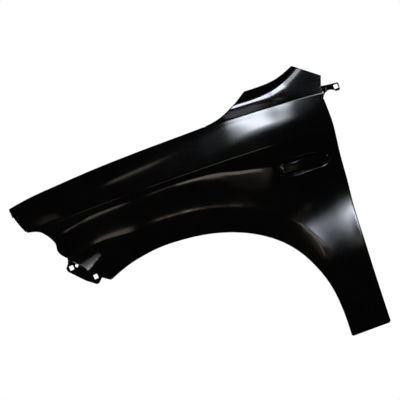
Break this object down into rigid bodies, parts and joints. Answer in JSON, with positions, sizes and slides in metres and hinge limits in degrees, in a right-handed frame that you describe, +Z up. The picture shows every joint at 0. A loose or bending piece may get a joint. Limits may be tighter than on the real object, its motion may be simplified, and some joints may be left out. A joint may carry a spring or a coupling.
{
  "type": "car fender",
  "caption": "Front left car fender pressed from one sheet of steel in black primer, with a wheel arch, folded edges, a lamp recess and bolting tabs.",
  "frame": {"origin": "underside of the hood rail flange, on the level seat above the wheel centre, where the fender sits on the apron rail", "axes": "+X to the rear of the car, -Y outward from the car's left side, +Z up"},
  "size_m": [1.0627, 0.2334, 0.825],
  "materials": {
    "black_primer": "gloss"
  },
  "bodies": {
    "root": {"fender_panel": "black_primer"}
  },
  "joints": []
}
